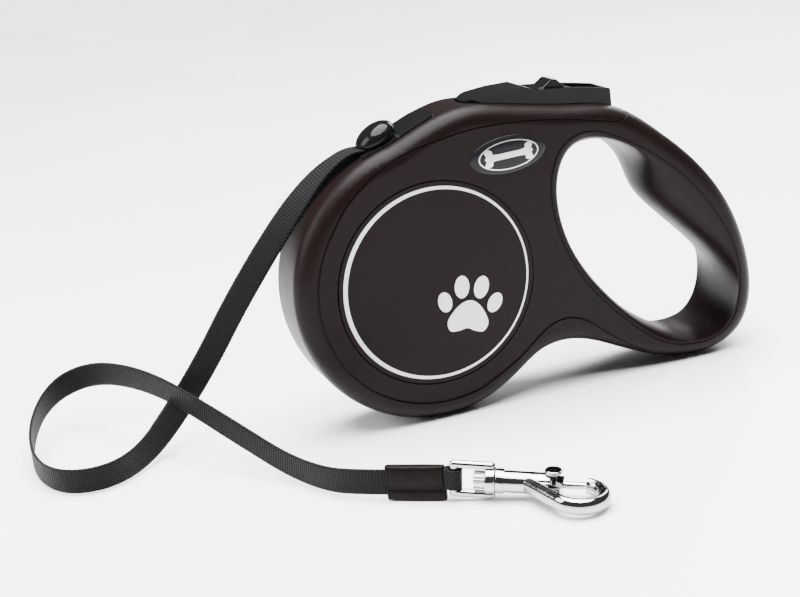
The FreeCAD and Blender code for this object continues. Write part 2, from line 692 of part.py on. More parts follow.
# ---------------------------------------------------------------- free tape
# The route's points, and at each one the direction across the tape's width.
TAPE_ROUTE = [
    (V(-56.6, 0, 103.74), V(0, 1, 0)),
    (V(-61.6, 0, 104.84), V(0, 1, 0)),
    (V(-70.0, 0, 101.5), V(-0.05, 1, 0.1)),
    (V(-78.5, 0.7, 95.0), V(-0.3, 0.9, 0.3)),
    (V(-91.0, 3.5, 80.5), V(-0.6, 0.6, 0.5)),
    (V(-109.0, 10.0, 55.0), V(-0.77, 0.35, 0.54)),
    (V(-123.5, 16.5, 30.5), V(-0.77, 0.35, 0.54)),
    (V(-138.0, 18.5, 12.5), V(-0.6, 0.3, 0.75)),
    (V(-151.5, 7.0, 5.5), V(-0.25, 0.1, 0.95)),
    (V(-165.0, -4.5, 5.0), V(-0.05, 0, 1)),
    (V(-178.5, -4.5, 5.0), V(0, 0, 1)),
    (V(-187.5, 5.5, 5.0), V(0, 0, 1)),
    (V(-190.5, 25.0, 5.4), V(0, 0, 1)),
    (V(-187.5, 47.0, 7.8), V(0, 0, 1)),
    (V(-180.0, 65.0, 12.0), V(0, 0, 1)),
    (V(-170.0, 73.0, 15.8), V(0, 0, 1)),
    (V(-159.0, 68.5, 19.5), V(0, 0, 1)),
    (V(-149.5, 51.0, 22.5), V(0, 0, 1)),
    (V(-139.5, 26.0, 23.0), V(0, 0, 1)),
    (V(-130.5, 1.0, 19.5), V(0, 0, 1)),
    (V(-119.5, -17.0, 12.0), V(0, 0, 1)),
    (V(-109.5, -35.0, 5.6), V(0, 0, 1)),
    (V(-101.5, -54.0, 5.2), V(0, 0, 1)),
    (V(-93.506, -64.592, 6.3), V(0, 0, 1)),
    (V(-85.4, -70.1, 6.3), V(0, 0, 1)),
]


def tape_stations():
    """Places along straight runs joined by tangent arcs, with the share of the way done."""
    points = [point for point, across in TAPE_ROUTE]
    stations = [(points[0], 0.0)]
    for i in range(1, len(points) - 1):
        before = points[i] - points[i - 1]
        after = points[i + 1] - points[i]
        turn = before.getAngle(after)
        reach = 0.45 * min(before.Length, after.Length)
        radius = reach / math.tan(turn / 2)
        ahead, on = before.normalize(), after.normalize()
        start = points[i] - ahead * reach
        toward = on - ahead * ahead.dot(on)
        toward.normalize()
        print("tape point %2d turns %5.1f degrees, radius %6.1f" % (i, math.degrees(turn), radius))
        steps = max(2, int(math.degrees(turn) / 9))
        for k in range(steps + 1):
            part_turn = turn * k / steps
            place = (start + ahead * (radius * math.sin(part_turn))
                     + toward * (radius * (1 - math.cos(part_turn))))
            stations.append((place, i - 0.45 + 0.9 * k / steps))
    stations.append((points[-1], len(points) - 1.0))
    return stations


def tape_lead():
    """The flat tape: a ruled solid through a rectangle set across the path at each station."""
    half_width = size("tape_width") / 2
    half_depth = size("tape_thickness") / 2
    stations = tape_stations()
    sections = []
    length = 0.0
    for i, (place, share) in enumerate(stations):
        before = stations[max(i - 1, 0)][0]
        after = stations[min(i + 1, len(stations) - 1)][0]
        ahead = (after - before).normalize()
        low = min(int(share), len(TAPE_ROUTE) - 2)
        mix = share - low
        across = TAPE_ROUTE[low][1] * (1 - mix) + TAPE_ROUTE[low + 1][1] * mix
        across = (across - ahead * ahead.dot(across)).normalize()
        through = ahead.cross(across)
        if i:
            length += (place - stations[i - 1][0]).Length
        corners = [place + across * (half_width * a) + through * (half_depth * b)
                   for a, b in ((1, 1), (-1, 1), (-1, -1), (1, -1))]
        sections.append(Part.makePolygon(corners + corners[:1]))
    solid = Part.makeLoft(sections, True, True)
    print("tape length %.1f, volume %.0f, section times length %.0f"
          % (length, solid.Volume, length * size("tape_width") * size("tape_thickness")))
    return solid


node(feature(tape_lead(), "tape_lead_shape"), "tape_lead")


# ---------------------------------------------------------------- checks and files
doc.recompute()
for obj in doc.Objects:
    if "Invalid" in obj.State or "Error" in obj.State:
        raise RuntimeError("%s failed: %s" % (obj.Name, obj.State))
os.makedirs("parts", exist_ok=True)
for obj in nodes:
    shape = obj.Shape
    if shape.isNull() or not shape.isValid():
        raise RuntimeError("%s has a bad shape" % obj.Label)
    box = shape.BoundBox
    print("%-18s solids %d volume %9.1f  x %7.1f..%7.1f y %7.1f..%7.1f z %6.1f..%6.1f"
          % (obj.Label, len(shape.Solids), shape.Volume, box.XMin, box.XMax, box.YMin, box.YMax,
             box.ZMin, box.ZMax))
    shape.exportStep("parts/%s.step" % obj.Label)
print(len(nodes), "nodes written")
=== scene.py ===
"""The looks of a retractable tape leash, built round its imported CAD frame. Metres throughout."""

import json
import math

import bmesh
import bpy
from mathutils import Matrix, Vector
from mathutils.bvhtree import BVHTree
from mathutils.geometry import delaunay_2d_cdt

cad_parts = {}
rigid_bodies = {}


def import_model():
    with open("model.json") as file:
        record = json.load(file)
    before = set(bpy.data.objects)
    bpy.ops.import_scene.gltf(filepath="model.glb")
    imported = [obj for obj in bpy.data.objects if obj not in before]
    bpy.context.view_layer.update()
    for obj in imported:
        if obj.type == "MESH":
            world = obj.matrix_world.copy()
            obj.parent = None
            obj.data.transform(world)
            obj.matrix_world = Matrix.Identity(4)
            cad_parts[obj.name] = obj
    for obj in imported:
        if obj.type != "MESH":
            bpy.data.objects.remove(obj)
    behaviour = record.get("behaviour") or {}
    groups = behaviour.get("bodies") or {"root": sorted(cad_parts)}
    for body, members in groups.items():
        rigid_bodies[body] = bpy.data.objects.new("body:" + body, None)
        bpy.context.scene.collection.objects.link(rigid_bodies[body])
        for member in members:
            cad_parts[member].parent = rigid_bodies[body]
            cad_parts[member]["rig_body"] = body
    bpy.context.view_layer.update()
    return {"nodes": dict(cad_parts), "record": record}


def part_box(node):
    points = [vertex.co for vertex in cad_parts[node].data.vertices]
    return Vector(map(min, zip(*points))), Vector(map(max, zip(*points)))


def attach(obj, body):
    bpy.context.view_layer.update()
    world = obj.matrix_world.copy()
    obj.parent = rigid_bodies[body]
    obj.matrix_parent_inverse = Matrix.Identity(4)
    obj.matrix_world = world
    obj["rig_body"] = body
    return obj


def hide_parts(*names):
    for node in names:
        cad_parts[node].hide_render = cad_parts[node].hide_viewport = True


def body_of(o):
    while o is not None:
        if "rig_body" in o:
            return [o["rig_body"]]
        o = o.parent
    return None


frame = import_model()

MM = 0.001
scene = bpy.context.scene


# ---------------------------------------------------------------- places read from the frame
def middle(node):
    low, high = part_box(node)
    return (low + high) / 2


panel_low, panel_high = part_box("front_panel")
DRUM = Vector((middle("front_panel").x, 0, middle("front_panel").z))
PANEL_RADIUS = (panel_high.x - panel_low.x) / 2
BACK_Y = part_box("rear_panel")[1].y


# ---------------------------------------------------------------- camera
CAMERA_PLACE = (-0.23343, -0.54690, 0.22609)
CAMERA_AHEAD = Vector((0.30367, 0.90468, -0.29888))
CAMERA_UP = Vector((0.20165, 0.24556, 0.94818))
CAMERA_LENS = 72.83
SENSOR_WIDTH = 36.0


def make_camera():
    """The viewpoint: a little above and to the left of the front face, rolled a few degrees."""
    data = bpy.data.cameras.new("camera")
    data.sensor_width = SENSOR_WIDTH
    data.lens = CAMERA_LENS
    data.clip_start, data.clip_end = 0.01, 20
    camera = bpy.data.objects.new("camera", data)
    scene.collection.objects.link(camera)
    ahead = CAMERA_AHEAD.normalized()
    right = ahead.cross(CAMERA_UP).normalized()
    up = right.cross(ahead)
    turn = Matrix((right, up, -ahead)).transposed().to_4x4()
    camera.matrix_world = Matrix.Translation(CAMERA_PLACE) @ turn
    scene.camera = camera


make_camera()


# ---------------------------------------------------------------- materials
def new_material(name, color, roughness, metallic=0.0, **sockets):
    """A Principled material and a short way to reach its parts."""
    made = bpy.data.materials.new(name)
    made.use_nodes = True
    shader = made.node_tree.nodes["Principled BSDF"]
    shader.inputs["Base Color"].default_value = (*color, 1)
    shader.inputs["Roughness"].default_value = roughness
    shader.inputs["Metallic"].default_value = metallic
    for socket, value in sockets.items():
        shader.inputs[socket.replace("_", " ")].default_value = value
    return made, made.node_tree, shader


def noise(tree, scale, detail=4.0, roughness=0.6, coordinates="Object"):
    """Noise in the object's own metres; scale is in lumps per metre."""
    place = tree.nodes.new("ShaderNodeTexCoord")
    texture = tree.nodes.new("ShaderNodeTexNoise")
    texture.inputs["Scale"].default_value = scale
    texture.inputs["Detail"].default_value = detail
    texture.inputs["Roughness"].default_value = roughness
    tree.links.new(place.outputs[coordinates], texture.inputs["Vector"])
    return texture


def add_bump(tree, shader, height, strength, distance, below=None):
    bump = tree.nodes.new("ShaderNodeBump")
    bump.inputs["Strength"].default_value = strength
    bump.inputs["Distance"].default_value = distance
    tree.links.new(height, bump.inputs["Height"])
    if below is not None:
        tree.links.new(below.outputs["Normal"], bump.inputs["Normal"])
    tree.links.new(bump.outputs["Normal"], shader.inputs["Normal"])
    return bump


def vary(tree, source, socket, low, high):
    """Drives a shader value softly between low and high with a noise texture."""
    spread = tree.nodes.new("ShaderNodeMapRange")
    spread.inputs["From Min"].default_value = 0.3
    spread.inputs["From Max"].default_value = 0.7
    spread.inputs["To Min"].default_value = low
    spread.inputs["To Max"].default_value = high
    tree.links.new(source, spread.inputs["Value"])
    tree.links.new(spread.outputs["Result"], socket)


def housing_material():
    made, tree, shader = new_material("housing", (0.0042, 0.0019, 0.0020), 0.38,
                                      Specular_IOR_Level=0.075)
    grain = noise(tree, 2600, 3)
    wear = noise(tree, 22, 3)
    vary(tree, wear.outputs["Fac"], shader.inputs["Roughness"], 0.36, 0.44)
    add_bump(tree, shader, grain.outputs["Fac"], 0.22, 0.00005)
    return made


def gloss_material(name="gloss", color=(0.004, 0.0038, 0.004)):
    made, tree, shader = new_material(name, color, 0.10,
                                      Specular_IOR_Level=0.10)
    flow = noise(tree, 60, 2)
    vary(tree, flow.outputs["Fac"], shader.inputs["Roughness"], 0.07, 0.12)
    add_bump(tree, shader, flow.outputs["Fac"], 0.05, 0.0002)
    return made


def chrome_material():
    made, tree, shader = new_material("chrome", (0.40, 0.395, 0.40), 0.07, metallic=1.0)
    smear = noise(tree, 180, 3)
    vary(tree, smear.outputs["Fac"], shader.inputs["Roughness"], 0.06, 0.14)
    add_bump(tree, shader, noise(tree, 420, 2).outputs["Fac"], 0.10, 0.0002)
    return made


def steel_material():
    made, tree, shader = new_material("steel", (0.45, 0.45, 0.46), 0.35, metallic=1.0)
    brush = noise(tree, 900, 3)
    add_bump(tree, shader, brush.outputs["Fac"], 0.1, 0.0001)
    return made


def silver_material():
    """Metallic ink: flatter and paler than chrome."""
    made, tree, shader = new_material("silver_ink", (0.48, 0.475, 0.47), 0.34, metallic=0.85)
    flake = noise(tree, 1800, 2)
    vary(tree, flake.outputs["Fac"], shader.inputs["Roughness"], 0.28, 0.42)
    return made


def reel_material():
    made, tree, shader = new_material("reel", (0.5, 0.5, 0.48), 0.45)
    add_bump(tree, shader, noise(tree, 1200, 3).outputs["Fac"], 0.15, 0.0001)
    return made


def tape_material():
    """Woven twill: fine slanting ribs across the width."""
    made, tree, shader = new_material("tape", (0.006, 0.006, 0.007), 0.62,
                                      Sheen_Weight=0.02, Sheen_Roughness=0.5,
                                      Specular_IOR_Level=0.07)
    shader.inputs["Sheen Tint"].default_value = (0.75, 0.78, 0.85, 1)
    grid = tree.nodes.new("ShaderNodeUVMap")
    grid.uv_map = "weave"

    def ribs(angle, per_metre, distortion):
        turn = tree.nodes.new("ShaderNodeMapping")
        turn.inputs["Rotation"].default_value = (0, 0, math.radians(angle))
        tree.links.new(grid.outputs["UV"], turn.inputs["Vector"])
        wave = tree.nodes.new("ShaderNodeTexWave")
        wave.inputs["Scale"].default_value = per_metre
        wave.inputs["Distortion"].default_value = distortion
        wave.inputs["Detail"].default_value = 2.0
        tree.links.new(turn.outputs["Vector"], wave.inputs["Vector"])
        return wave

    warp = ribs(90, 270, 0.4)
    twill = ribs(32, 330, 0.5)
    mixed = tree.nodes.new("ShaderNodeMath")
    mixed.operation = "MULTIPLY_ADD"
    mixed.inputs[1].default_value = 0.55
    tree.links.new(twill.outputs["Fac"], mixed.inputs[0])
    tree.links.new(warp.outputs["Fac"], mixed.inputs[2])
    bump = add_bump(tree, shader, mixed.outputs["Value"], 0.75, 0.00022)
    bump.inputs["Filter Width"].default_value = 0.1
    shade = tree.nodes.new("ShaderNodeValToRGB")
    shade.color_ramp.elements[0].color = (0.0012, 0.0012, 0.0014, 1)
    shade.color_ramp.elements[1].color = (0.0060, 0.0058, 0.0062, 1)
    tree.links.new(twill.outputs["Fac"], shade.inputs["Fac"])
    tree.links.new(shade.outputs["Color"], shader.inputs["Base Color"])
    return made


def leather_material():
    made, tree, shader = new_material("leather", (0.0032, 0.0016, 0.0015), 0.46,
                                      Specular_IOR_Level=0.06)
    place = tree.nodes.new("ShaderNodeTexCoord")
    cells = tree.nodes.new("ShaderNodeTexVoronoi")
    cells.inputs["Scale"].default_value = 1500
    tree.links.new(place.outputs["Object"], cells.inputs["Vector"])
    below = add_bump(tree, shader, cells.outputs["Distance"], 0.35, 0.0001)
    folds = noise(tree, 160, 3)
    add_bump(tree, shader, folds.outputs["Fac"], 0.3, 0.0006, below)
    return made


MATERIALS = {
    "housing": housing_material(),
    "panel": housing_material(),
    "gloss": gloss_material(),
    "badge": gloss_material("badge", (0.008, 0.008, 0.009)),
    "reel": reel_material(),
    "tape": tape_material(),
    "leather": leather_material(),
    "chrome": chrome_material(),
    "steel": steel_material(),
    "silver": silver_material(),
}


def dress_frame():
    """Gives every CAD node its slot's material."""
    for subpart in frame["record"]["subparts"]:
        obj = frame["nodes"][subpart["node"]]
        obj.data.materials.clear()
        obj.data.materials.append(MATERIALS[subpart["material_slot"]])


dress_frame()


# ---------------------------------------------------------------- mesh helpers
def mesh_object(name, vertices, faces, material, body, smooth=True):
    """A new piece from plain lists, riding on a CAD body."""
    data = bpy.data.meshes.new(name)
    data.from_pydata([tuple(v) for v in vertices], [], faces)
    data.validate()
    data.update()
    obj = bpy.data.objects.new(name, data)
    scene.collection.objects.link(obj)
    data.materials.append(material)
    if smooth:
        data.polygons.foreach_set("use_smooth", [True] * len(data.polygons))
    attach(obj, body)
    return obj


def loft(rings, closed_ends=True):
    """Vertices and faces of a skin through rings of equal numbers of points."""
    count = len(rings[0])
    vertices = [point for ring in rings for point in ring]
    faces = []
    for i in range(len(rings) - 1):
        for k in range(count):
            n = (k + 1) % count
            faces.append((i * count + k, i * count + n, (i + 1) * count + n, (i + 1) * count + k))
    if closed_ends:
        faces.append(tuple(reversed(range(count))))
        faces.append(tuple((len(rings) - 1) * count + k for k in range(count)))
    return vertices, faces


def smooth_line(points, closed=False, steps=10):
    """A Catmull-Rom line through side-view points, as (x, z) pairs."""
    count = len(points)
    made = []
    for i in range(count if closed else count - 1):
        if closed:
            a, b, c, d = (Vector(points[(i + k) % count]) for k in (-1, 0, 1, 2))
        else:
            a, b, c, d = (Vector(points[min(max(i + k, 0), count - 1)]) for k in (-1, 0, 1, 2))
        for k in range(steps):
            t = k / steps
            made.append(0.5 * (2 * b + (c - a) * t + (2 * a - 5 * b + 4 * c - d) * t * t
                               + (3 * b - a - 3 * c + d) * t * t * t))
    if not closed:
        made.append(Vector(points[-1]))
    return made


def circle(x, z, radius_x, radius_z=None, tilt=0.0, count=72):
    """Points of an ellipse in side view, its long way turned by tilt degrees."""
    radius_z = radius_x if radius_z is None else radius_z
    turn = math.radians(tilt)
    made = []
    for k in range(count):
        a = 2 * math.pi * k / count
        u, v = radius_x * math.cos(a), radius_z * math.sin(a)
        made.append(Vector((x + u * math.cos(turn) - v * math.sin(turn),
                            z + u * math.sin(turn) + v * math.cos(turn))))
    return made


def pushed(line, distance):
    """A closed side-view line moved sideways, to the left of the way it runs."""
    made = []
    for i, point in enumerate(line):
        ahead = (line[(i + 1) % len(line)] - line[i - 1]).normalized()
        made.append(point + Vector((-ahead.y, ahead.x)) * distance)
    return made


def from_drum(x, z):
    """A side-view point, given in millimetres from the reel's axis across and from the floor up."""
    return Vector((DRUM.x + x * MM, z * MM))


def plain_copy(node):
    """The vertices and faces of a CAD node, welded."""
    bm = bmesh.new()
    bm.from_mesh(frame["nodes"][node].data)
    bmesh.ops.remove_doubles(bm, verts=bm.verts, dist=2e-6)
    vertices = [v.co.copy() for v in bm.verts]
    faces = [tuple(v.index for v in f.verts) for f in bm.faces]
    bm.free()
    return vertices, faces


def settle(obj):
    """Swaps an object's mesh for the one its modifiers make."""
    bpy.context.view_layer.update()
    shown = obj.evaluated_get(bpy.context.evaluated_depsgraph_get())
    data = bpy.data.meshes.new_from_object(shown)
    obj.modifiers.clear()
    obj.data = data


def refined(node, name, material, cutter=None, bevel=0.0, segments=2, crease=38):
    """A CAD node's own shape with its sharp edges eased and grooves cut in, shown in its place."""
    vertices, faces = plain_copy(node)
    body = body_of(frame["nodes"][node])[0]
    obj = mesh_object(name, vertices, faces, material, body)
    if bevel:
        ease = obj.modifiers.new("ease", "BEVEL")
        ease.width = bevel
        ease.segments = segments
        ease.limit_method = "ANGLE"
        ease.angle_limit = math.radians(crease)
        ease.use_clamp_overlap = True
        ease.harden_normals = False
        settle(obj)
    if cutter is not None:
        carve = obj.modifiers.new("carve", "BOOLEAN")
        carve.operation = "DIFFERENCE"
        carve.solver = "EXACT"
        carve.use_self = True
        carve.object = cutter
        settle(obj)
    obj.data.polygons.foreach_set("use_smooth", [True] * len(obj.data.polygons))
    obj.data.set_sharp_from_angle(angle=math.radians(crease))
    weigh = obj.modifiers.new("weigh", "WEIGHTED_NORMAL")
    weigh.keep_sharp = True
    settle(obj)
    while len(obj.data.materials) > 1:
        obj.data.materials.pop()
    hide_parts(node)
    return obj


def tree_of(node):
    vertices, faces = plain_copy(node)
    return BVHTree.FromPolygons(vertices, faces)


def on_surface(tree, point, side):
    """Where a line along Y through a side-view point first meets the surface from outside."""
    start = Vector((point.x, side * 0.1, point.y))
    hit = tree.ray_cast(start, Vector((0, -side, 0)))[0]
    return hit


def groove_rod(places, radius, closed):
    """The skin of a round rod along places in space."""
    rings = []
    count = len(places)
    for i, place in enumerate(places):
        before = places[(i - 1) % count] if closed else places[max(i - 1, 0)]
        after = places[(i + 1) % count] if closed else places[min(i + 1, count - 1)]
        ahead = (after - before).normalized()
        side = ahead.cross(Vector((0, 1, 0))).normalized()
        up = side.cross(ahead)
        rings.append([place + (side * math.cos(a) + up * math.sin(a)) * radius
                      for a in (2 * math.pi * k / 8 for k in range(8))])
    if closed:
        vertices, faces = loft(rings + [rings[0]], closed_ends=False)
        last = (len(rings)) * 8
        faces = [tuple(v - last if v >= last else v for v in f) for f in faces]
        vertices = vertices[:last]
    else:
        vertices, faces = loft(rings)
    return vertices, faces


def carving_tool(name, rods):
    """One object from several rods that don't touch."""
    vertices, faces = [], []
    for rod_vertices, rod_faces in rods:
        faces += [tuple(v + len(vertices) for v in face) for face in rod_faces]
        vertices += rod_vertices
    data = bpy.data.meshes.new(name)
    data.from_pydata([tuple(v) for v in vertices], [], faces)
    bm = bmesh.new()
    bm.from_mesh(data)
    bmesh.ops.recalc_face_normals(bm, faces=bm.faces)
    bm.to_mesh(data)
    bm.free()
    obj = bpy.data.objects.new(name, data)
    scene.collection.objects.link(obj)
    return obj


# ---------------------------------------------------------------- casing
HOLE_CREST = [(66.5, 97.6), (79.0, 92.4), (91.0, 84.6), (102.0, 75.3), (111.0, 64.8),
              (118.3, 53.3), (123.2, 42.5), (125.1, 31.0), (123.0, 17.5), (117.0, 9.9),
              (106.5, 7.6), (92.0, 10.9), (77.5, 22.3), (63.0, 38.5), (53.7, 55.0),
              (49.4, 71.5), (50.2, 85.5), (56.0, 95.0)]
TOP_GROOVE = [(85.0, 106.5), (84.0, 103.0), (81.0, 100.7), (76.0, 100.6), (58.1, 104.3),
              (38.2, 107.0), (18.5, 107.4), (-1.2, 104.2), (-12.0, 100.6), (-21.2, 95.8),
              (-30.6, 88.4)]
RING_GROOVE_RADIUS = 45.7
LOWER_GROOVE = [(29.5, 17.5), (38.6, 24.4), (45.4, 28.2), (52.6, 28.7), (59.6, 25.6),
                (68.8, 18.0), (78.2, 11.2), (86.3, 6.2), (91.0, 2.6)]


def face_grooves(node, side):
    """Rods along the fine lines of one face: round the hand hole, and round the flat face."""
    tree = tree_of(node)
    ring = [from_drum(RING_GROOVE_RADIUS * math.cos(math.radians(a)),
                      DRUM.z / MM + RING_GROOVE_RADIUS * math.sin(math.radians(a)))
            for a in range(146, 300, 11)]
    outer = ([from_drum(x, z) for x, z in TOP_GROOVE] + ring
             + [from_drum(x, z) for x, z in LOWER_GROOVE])
    hole = pushed(smooth_line([from_drum(x, z) for x, z in HOLE_CREST], closed=True), 1.0 * MM)
    inset = circle(DRUM.x, DRUM.z, PANEL_RADIUS + 0.1 * MM, count=120)
    rods = []
    for name, line, closed, radius in (("outer", smooth_line(outer), False, 0.42 * MM),
                                       ("hole", hole, True, 0.30 * MM),
                                       ("inset", inset, True, 0.45 * MM)):
        places = [on_surface(tree, point, side) for point in line]
        if name == "inset":
            places = [Vector((point.x, side * BACK_Y, point.y)) for point in line]
        places = [place for place in places if place is not None]
        rods.append(groove_rod(places, radius, closed))
    return carving_tool("groove_tool", rods)


def casing():
    for node, name, side in (("front_shell", "casing_front", -1), ("rear_shell", "casing_rear", 1)):
        tool = face_grooves(node, side)
        refined(node, name, MATERIALS["housing"], tool, bevel=0.3 * MM)
        bpy.data.objects.remove(tool)
    for node, name in (("front_panel", "inset_front"), ("rear_panel", "inset_rear")):
        refined(node, name, MATERIALS["panel"], bevel=0.3 * MM)


casing()


# ---------------------------------------------------------------- printed marks
def laid_on(name, rings, tree, side, lift, material):
    """A thin skin through side-view rings, dropped onto a surface and lifted a little off it."""
    places = []
    for ring in rings:
        row = []
        for point in ring:
            hit = on_surface(tree, point, side)
            y = hit.y if hit is not None else side * BACK_Y
            row.append(Vector((point.x, y + side * lift, point.y)))
        places.append(row)
    vertices, faces = loft(places, closed_ends=False)
    if side > 0:
        faces = [tuple(reversed(face)) for face in faces]
    return mesh_object(name, vertices, faces, material, "casing")


def spot(name, outline, tree, side, lift, material, grain=0.7 * MM):
    """A filled shape of any outline: triangles over its edge and a fine grid, laid on a surface."""
    low_x, high_x = min(p.x for p in outline), max(p.x for p in outline)
    low_z, high_z = min(p.y for p in outline), max(p.y for p in outline)
    grid = [Vector((low_x + i * grain, low_z + k * grain))
            for i in range(1, int((high_x - low_x) / grain) + 1)
            for k in range(1, int((high_z - low_z) / grain) + 1)]
    points = [point / MM for point in outline + grid]
    edge = [(k, (k + 1) % len(outline)) for k in range(len(outline))]
    found = delaunay_2d_cdt(points, edge, [list(range(len(outline)))], 1, 1e-4)
    vertices = []
    for point in found[0]:
        place = point * MM
        hit = on_surface(tree, place, side)
        y = hit.y if hit is not None else side * BACK_Y
        vertices.append(Vector((place.x, y + side * lift, place.y)))
    faces = []
    for face in found[2]:
        a, b, c = (vertices[k] for k in face[:3])
        outward = (b - a).cross(c - a).y * side > 0
        faces.append(tuple(face) if outward else tuple(reversed(face)))
    return mesh_object(name, vertices, faces, material, "casing")


def band(name, outer, inner, tree, side, lift, material):
    return laid_on(name, [outer, inner], tree, side, lift, material)


PAW_PAD = [(0, 5.2), (3.4, 3.9), (6.4, 0.6), (8.2, -3.4), (6.6, -6.6), (3.2, -6.4), (0, -5.4),
           (-3.2, -6.4), (-6.6, -6.6), (-8.2, -3.4), (-6.4, 0.6), (-3.4, 3.9)]
PAW_TOES = [(-10.0, 4.4, 2.7, 3.9, 22), (-3.9, 10.2, 2.9, 4.3, 7), (3.9, 10.2, 2.9, 4.3, -7),
            (10.0, 4.4, 2.7, 3.9, -22)]
BONE = [(9.0, 0.9), (9.6, 2.6), (8.2, 3.3), (6.6, 2.6), (6.0, 1.25), (0, 1.1), (-6.0, 1.25),
        (-6.6, 2.6), (-8.2, 3.3), (-9.6, 2.6), (-9.0, 0.9), (-9.6, 0), (-9.0, -0.9),
        (-9.6, -2.6), (-8.2, -3.3), (-6.6, -2.6), (-6.0, -1.25), (0, -1.1), (6.0, -1.25),
        (6.6, -2.6), (8.2, -3.3), (9.6, -2.6), (9.0, -0.9), (9.6, 0)]
INK_LIFT = 0.05 * MM


def turned(points, degrees, x, z):
    """Side-view points in millimetres, turned, then moved to (x, z) in metres."""
    a = math.radians(degrees)
    return [Vector((x + (u * math.cos(a) - v * math.sin(a)) * MM,
                    z + (u * math.sin(a) + v * math.cos(a)) * MM)) for u, v in points]


def marks():
    """On each face a swelling silver ring, a paw print and, on the badge, a rim and a bone."""
    for side, panel, badge, word in ((-1, "inset_front", "front_badge", "front"),
                                     (1, "inset_rear", "rear_badge", "rear")):
        flat = BVHTree.FromObject(bpy.data.objects[panel], bpy.context.evaluated_depsgraph_get())
        outer = circle(DRUM.x, DRUM.z, PANEL_RADIUS - 1.7 * MM, count=144)
        inner = circle(DRUM.x + 0.45 * MM, DRUM.z - 0.1 * MM, PANEL_RADIUS - 2.85 * MM, count=144)
        band("ring_" + word, outer, inner, flat, side, INK_LIFT, MATERIALS["silver"])
        paw_x, paw_z = DRUM.x + 11.0 * MM, DRUM.z - 14.0 * MM
        pad = smooth_line(turned(PAW_PAD, 12 * side, paw_x, paw_z), closed=True, steps=6)
        spot("paw_pad_" + word, pad, flat, side, INK_LIFT, MATERIALS["silver"])
        for number, (x, z, wide, tall, tilt) in enumerate(PAW_TOES):
            toe = circle(0, 0, wide, tall, tilt, count=40)
            toe = turned([(p.x + x, p.y + z) for p in toe], 12 * side, paw_x, paw_z)
            spot("paw_toe_%d_%s" % (number, word), toe, flat, side, INK_LIFT, MATERIALS["silver"])
        low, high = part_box(badge)
        x, z = (low.x + high.x) / 2, (low.z + high.z) / 2
        dome = tree_of(badge)
        rim = circle(x, z, 11.9 * MM, 5.35 * MM, 2, count=96)
        rim_in = circle(x, z, 11.45 * MM, 4.95 * MM, 2, count=96)
        band("badge_rim_" + word, rim, rim_in, dome, side, INK_LIFT, MATERIALS["silver"])
        bone = smooth_line(turned(BONE, 2, x, z), closed=True, steps=5)
        spot("badge_bone_" + word, bone, dome, side, INK_LIFT, MATERIALS["silver"])
        refined(badge, "badge_" + word, MATERIALS["badge"])


marks()


# ---------------------------------------------------------------- nose, button, lock, hook
for node, name, slot, bevel in (("nose_guide", "tape_nose", "gloss", 0.35),
                                ("brake_button", "thumb_button", "gloss", 0.6),
                                ("lock_slider", "thumb_lock", "gloss", 0.45),
                                ("swivel_bail", "bail", "chrome", 0.25),
                                ("hook_body", "snap_hook", "chrome", 0.25),
                                ("snap_bolt", "gate_bolt", "chrome", 0.15)):
    piece = refined(node, name, MATERIALS[slot], bevel=bevel * MM, segments=3)


# ---------------------------------------------------------------- sleeve and sewn loop
SLEEVE_HEADING = math.radians(-34.2)
SLEEVE_SIZE = (20.4 * MM, 4.4 * MM, 12.4 * MM)
ALONG = Vector((math.cos(SLEEVE_HEADING), math.sin(SLEEVE_HEADING), 0))
ACROSS = Vector((-math.sin(SLEEVE_HEADING), math.cos(SLEEVE_HEADING), 0))
SLEEVE_STATIONS = 64
SLEEVE_CORNERS = 96
HEM_IN = 1.5 * MM
CREASE_BELOW = 2.1 * MM


def dip(distance, width):
    """A smooth bump of height 1 where distance is 0."""
    return math.exp(-(distance / width) ** 2)


def rounded(value, power):
    """A cosine or sine pushed outwards, which squares up a round section."""
    return math.copysign(abs(value) ** power, value)


def sleeve():
    """A soft leather tube pressed flat, with turned ends and a crease along its lower third."""
    length, thick, tall = SLEEVE_SIZE
    centre = middle("leather_sleeve")
    rings = []
    for i in range(SLEEVE_STATIONS + 1):
        share = i / SLEEVE_STATIONS
        end = min(share, 1 - share) * length
        turned_in = 1 - 0.45 * dip(end, 0.35 * MM)
        hem = 0.10 * dip(end - HEM_IN, 0.45 * MM)
        swell = 0.86 + 0.10 * math.sin(math.pi * share)
        ring = []
        for k in range(SLEEVE_CORNERS):
            a = 2 * math.pi * k / SLEEVE_CORNERS
            out = rounded(math.cos(a), 0.5)
            up = rounded(math.sin(a), 0.42) * tall / 2
            crease = 0.24 * dip(up + CREASE_BELOW, 0.5 * MM)
            ripple = 0.020 * math.sin(900 * up + 14 * share) * math.sin(math.pi * share)
            wide = thick / 2 * (swell - crease - hem + ripple) * turned_in
            high = up * (0.985 - 0.05 * (1 - turned_in))
            ring.append(centre + ALONG * (share - 0.5) * length + ACROSS * out * wide
                        + Vector((0, 0, high)))
        rings.append(ring)
    vertices, faces = loft(rings)
    body = body_of(frame["nodes"]["leather_sleeve"])[0]
    obj = mesh_object("sleeve", vertices, faces, MATERIALS["leather"], body)
    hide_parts("leather_sleeve")


def sewn_loop():
    """The tape's eye round the bail, given the same weave as the free tape."""
    obj = refined("tape_loop", "sewn_eye", MATERIALS["tape"], bevel=0.2 * MM)
    layer = obj.data.uv_layers.new(name="weave")
    centre = middle("tape_loop")
    for corner in obj.data.loops:
        away = obj.data.vertices[corner.vertex_index].co - centre
        layer.data[corner.index].uv = (away.z, away.dot(ALONG))


sleeve()
sewn_loop()


